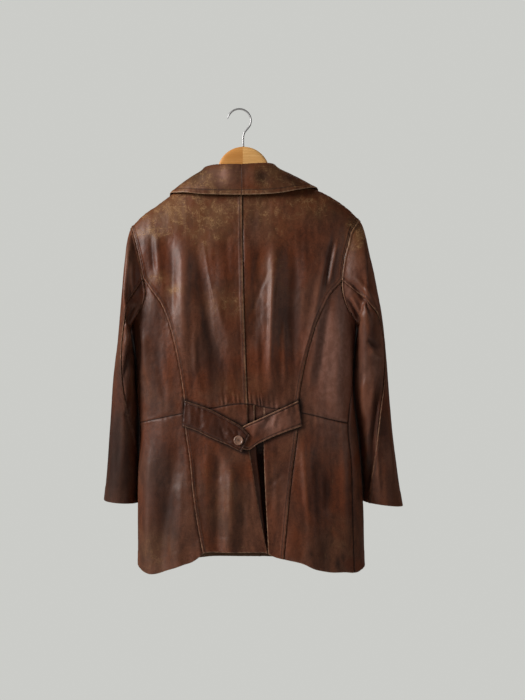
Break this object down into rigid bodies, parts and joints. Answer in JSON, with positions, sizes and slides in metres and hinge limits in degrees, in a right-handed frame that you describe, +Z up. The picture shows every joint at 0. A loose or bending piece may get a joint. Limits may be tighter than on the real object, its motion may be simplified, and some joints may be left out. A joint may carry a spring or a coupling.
{
  "type": "leather coat on a wooden hanger",
  "caption": "Worn brown leather coat with a pointed collar, shaped back seams, a buttoned half belt and an open back pleat, hanging on a wooden hanger with a wire hook.",
  "frame": {"origin": "inside of the hook's crest, where the nail or rail carries it", "axes": "+Z up; the coat's back is towards -Y and its fronts towards +Y; +X is right when the back is looked at"},
  "size_m": [0.607, 0.1727, 0.9457],
  "materials": {
    "leather": "worn, softly glossy",
    "leather_inside_pleat": "matt",
    "button": "satin, horn-like",
    "wood": "clear varnish",
    "wire": "bright wire"
  },
  "bodies": {
    "root": {"back_upper_left": "leather", "back_upper_right": "leather", "side_back_upper_left": "leather", "side_back_upper_right": "leather", "front_left": "leather", "front_right": "leather", "top_sleeve_left": "leather", "top_sleeve_right": "leather", "under_sleeve_left": "leather", "under_sleeve_right": "leather", "collar_left": "leather", "collar_right": "leather", "side_skirt_left": "leather", "back_skirt_left": "leather", "back_skirt_right": "leather", "side_skirt_right": "leather", "belt_left": "leather", "belt_right": "leather", "pleat_underlay": "leather_inside_pleat", "belt_button": "button", "front_button_1": "button", "front_button_2": "button", "front_button_3": "button", "front_button_4": "button", "hanger_wood": "wood", "hanger_hook": "wire"}
  },
  "joints": []
}
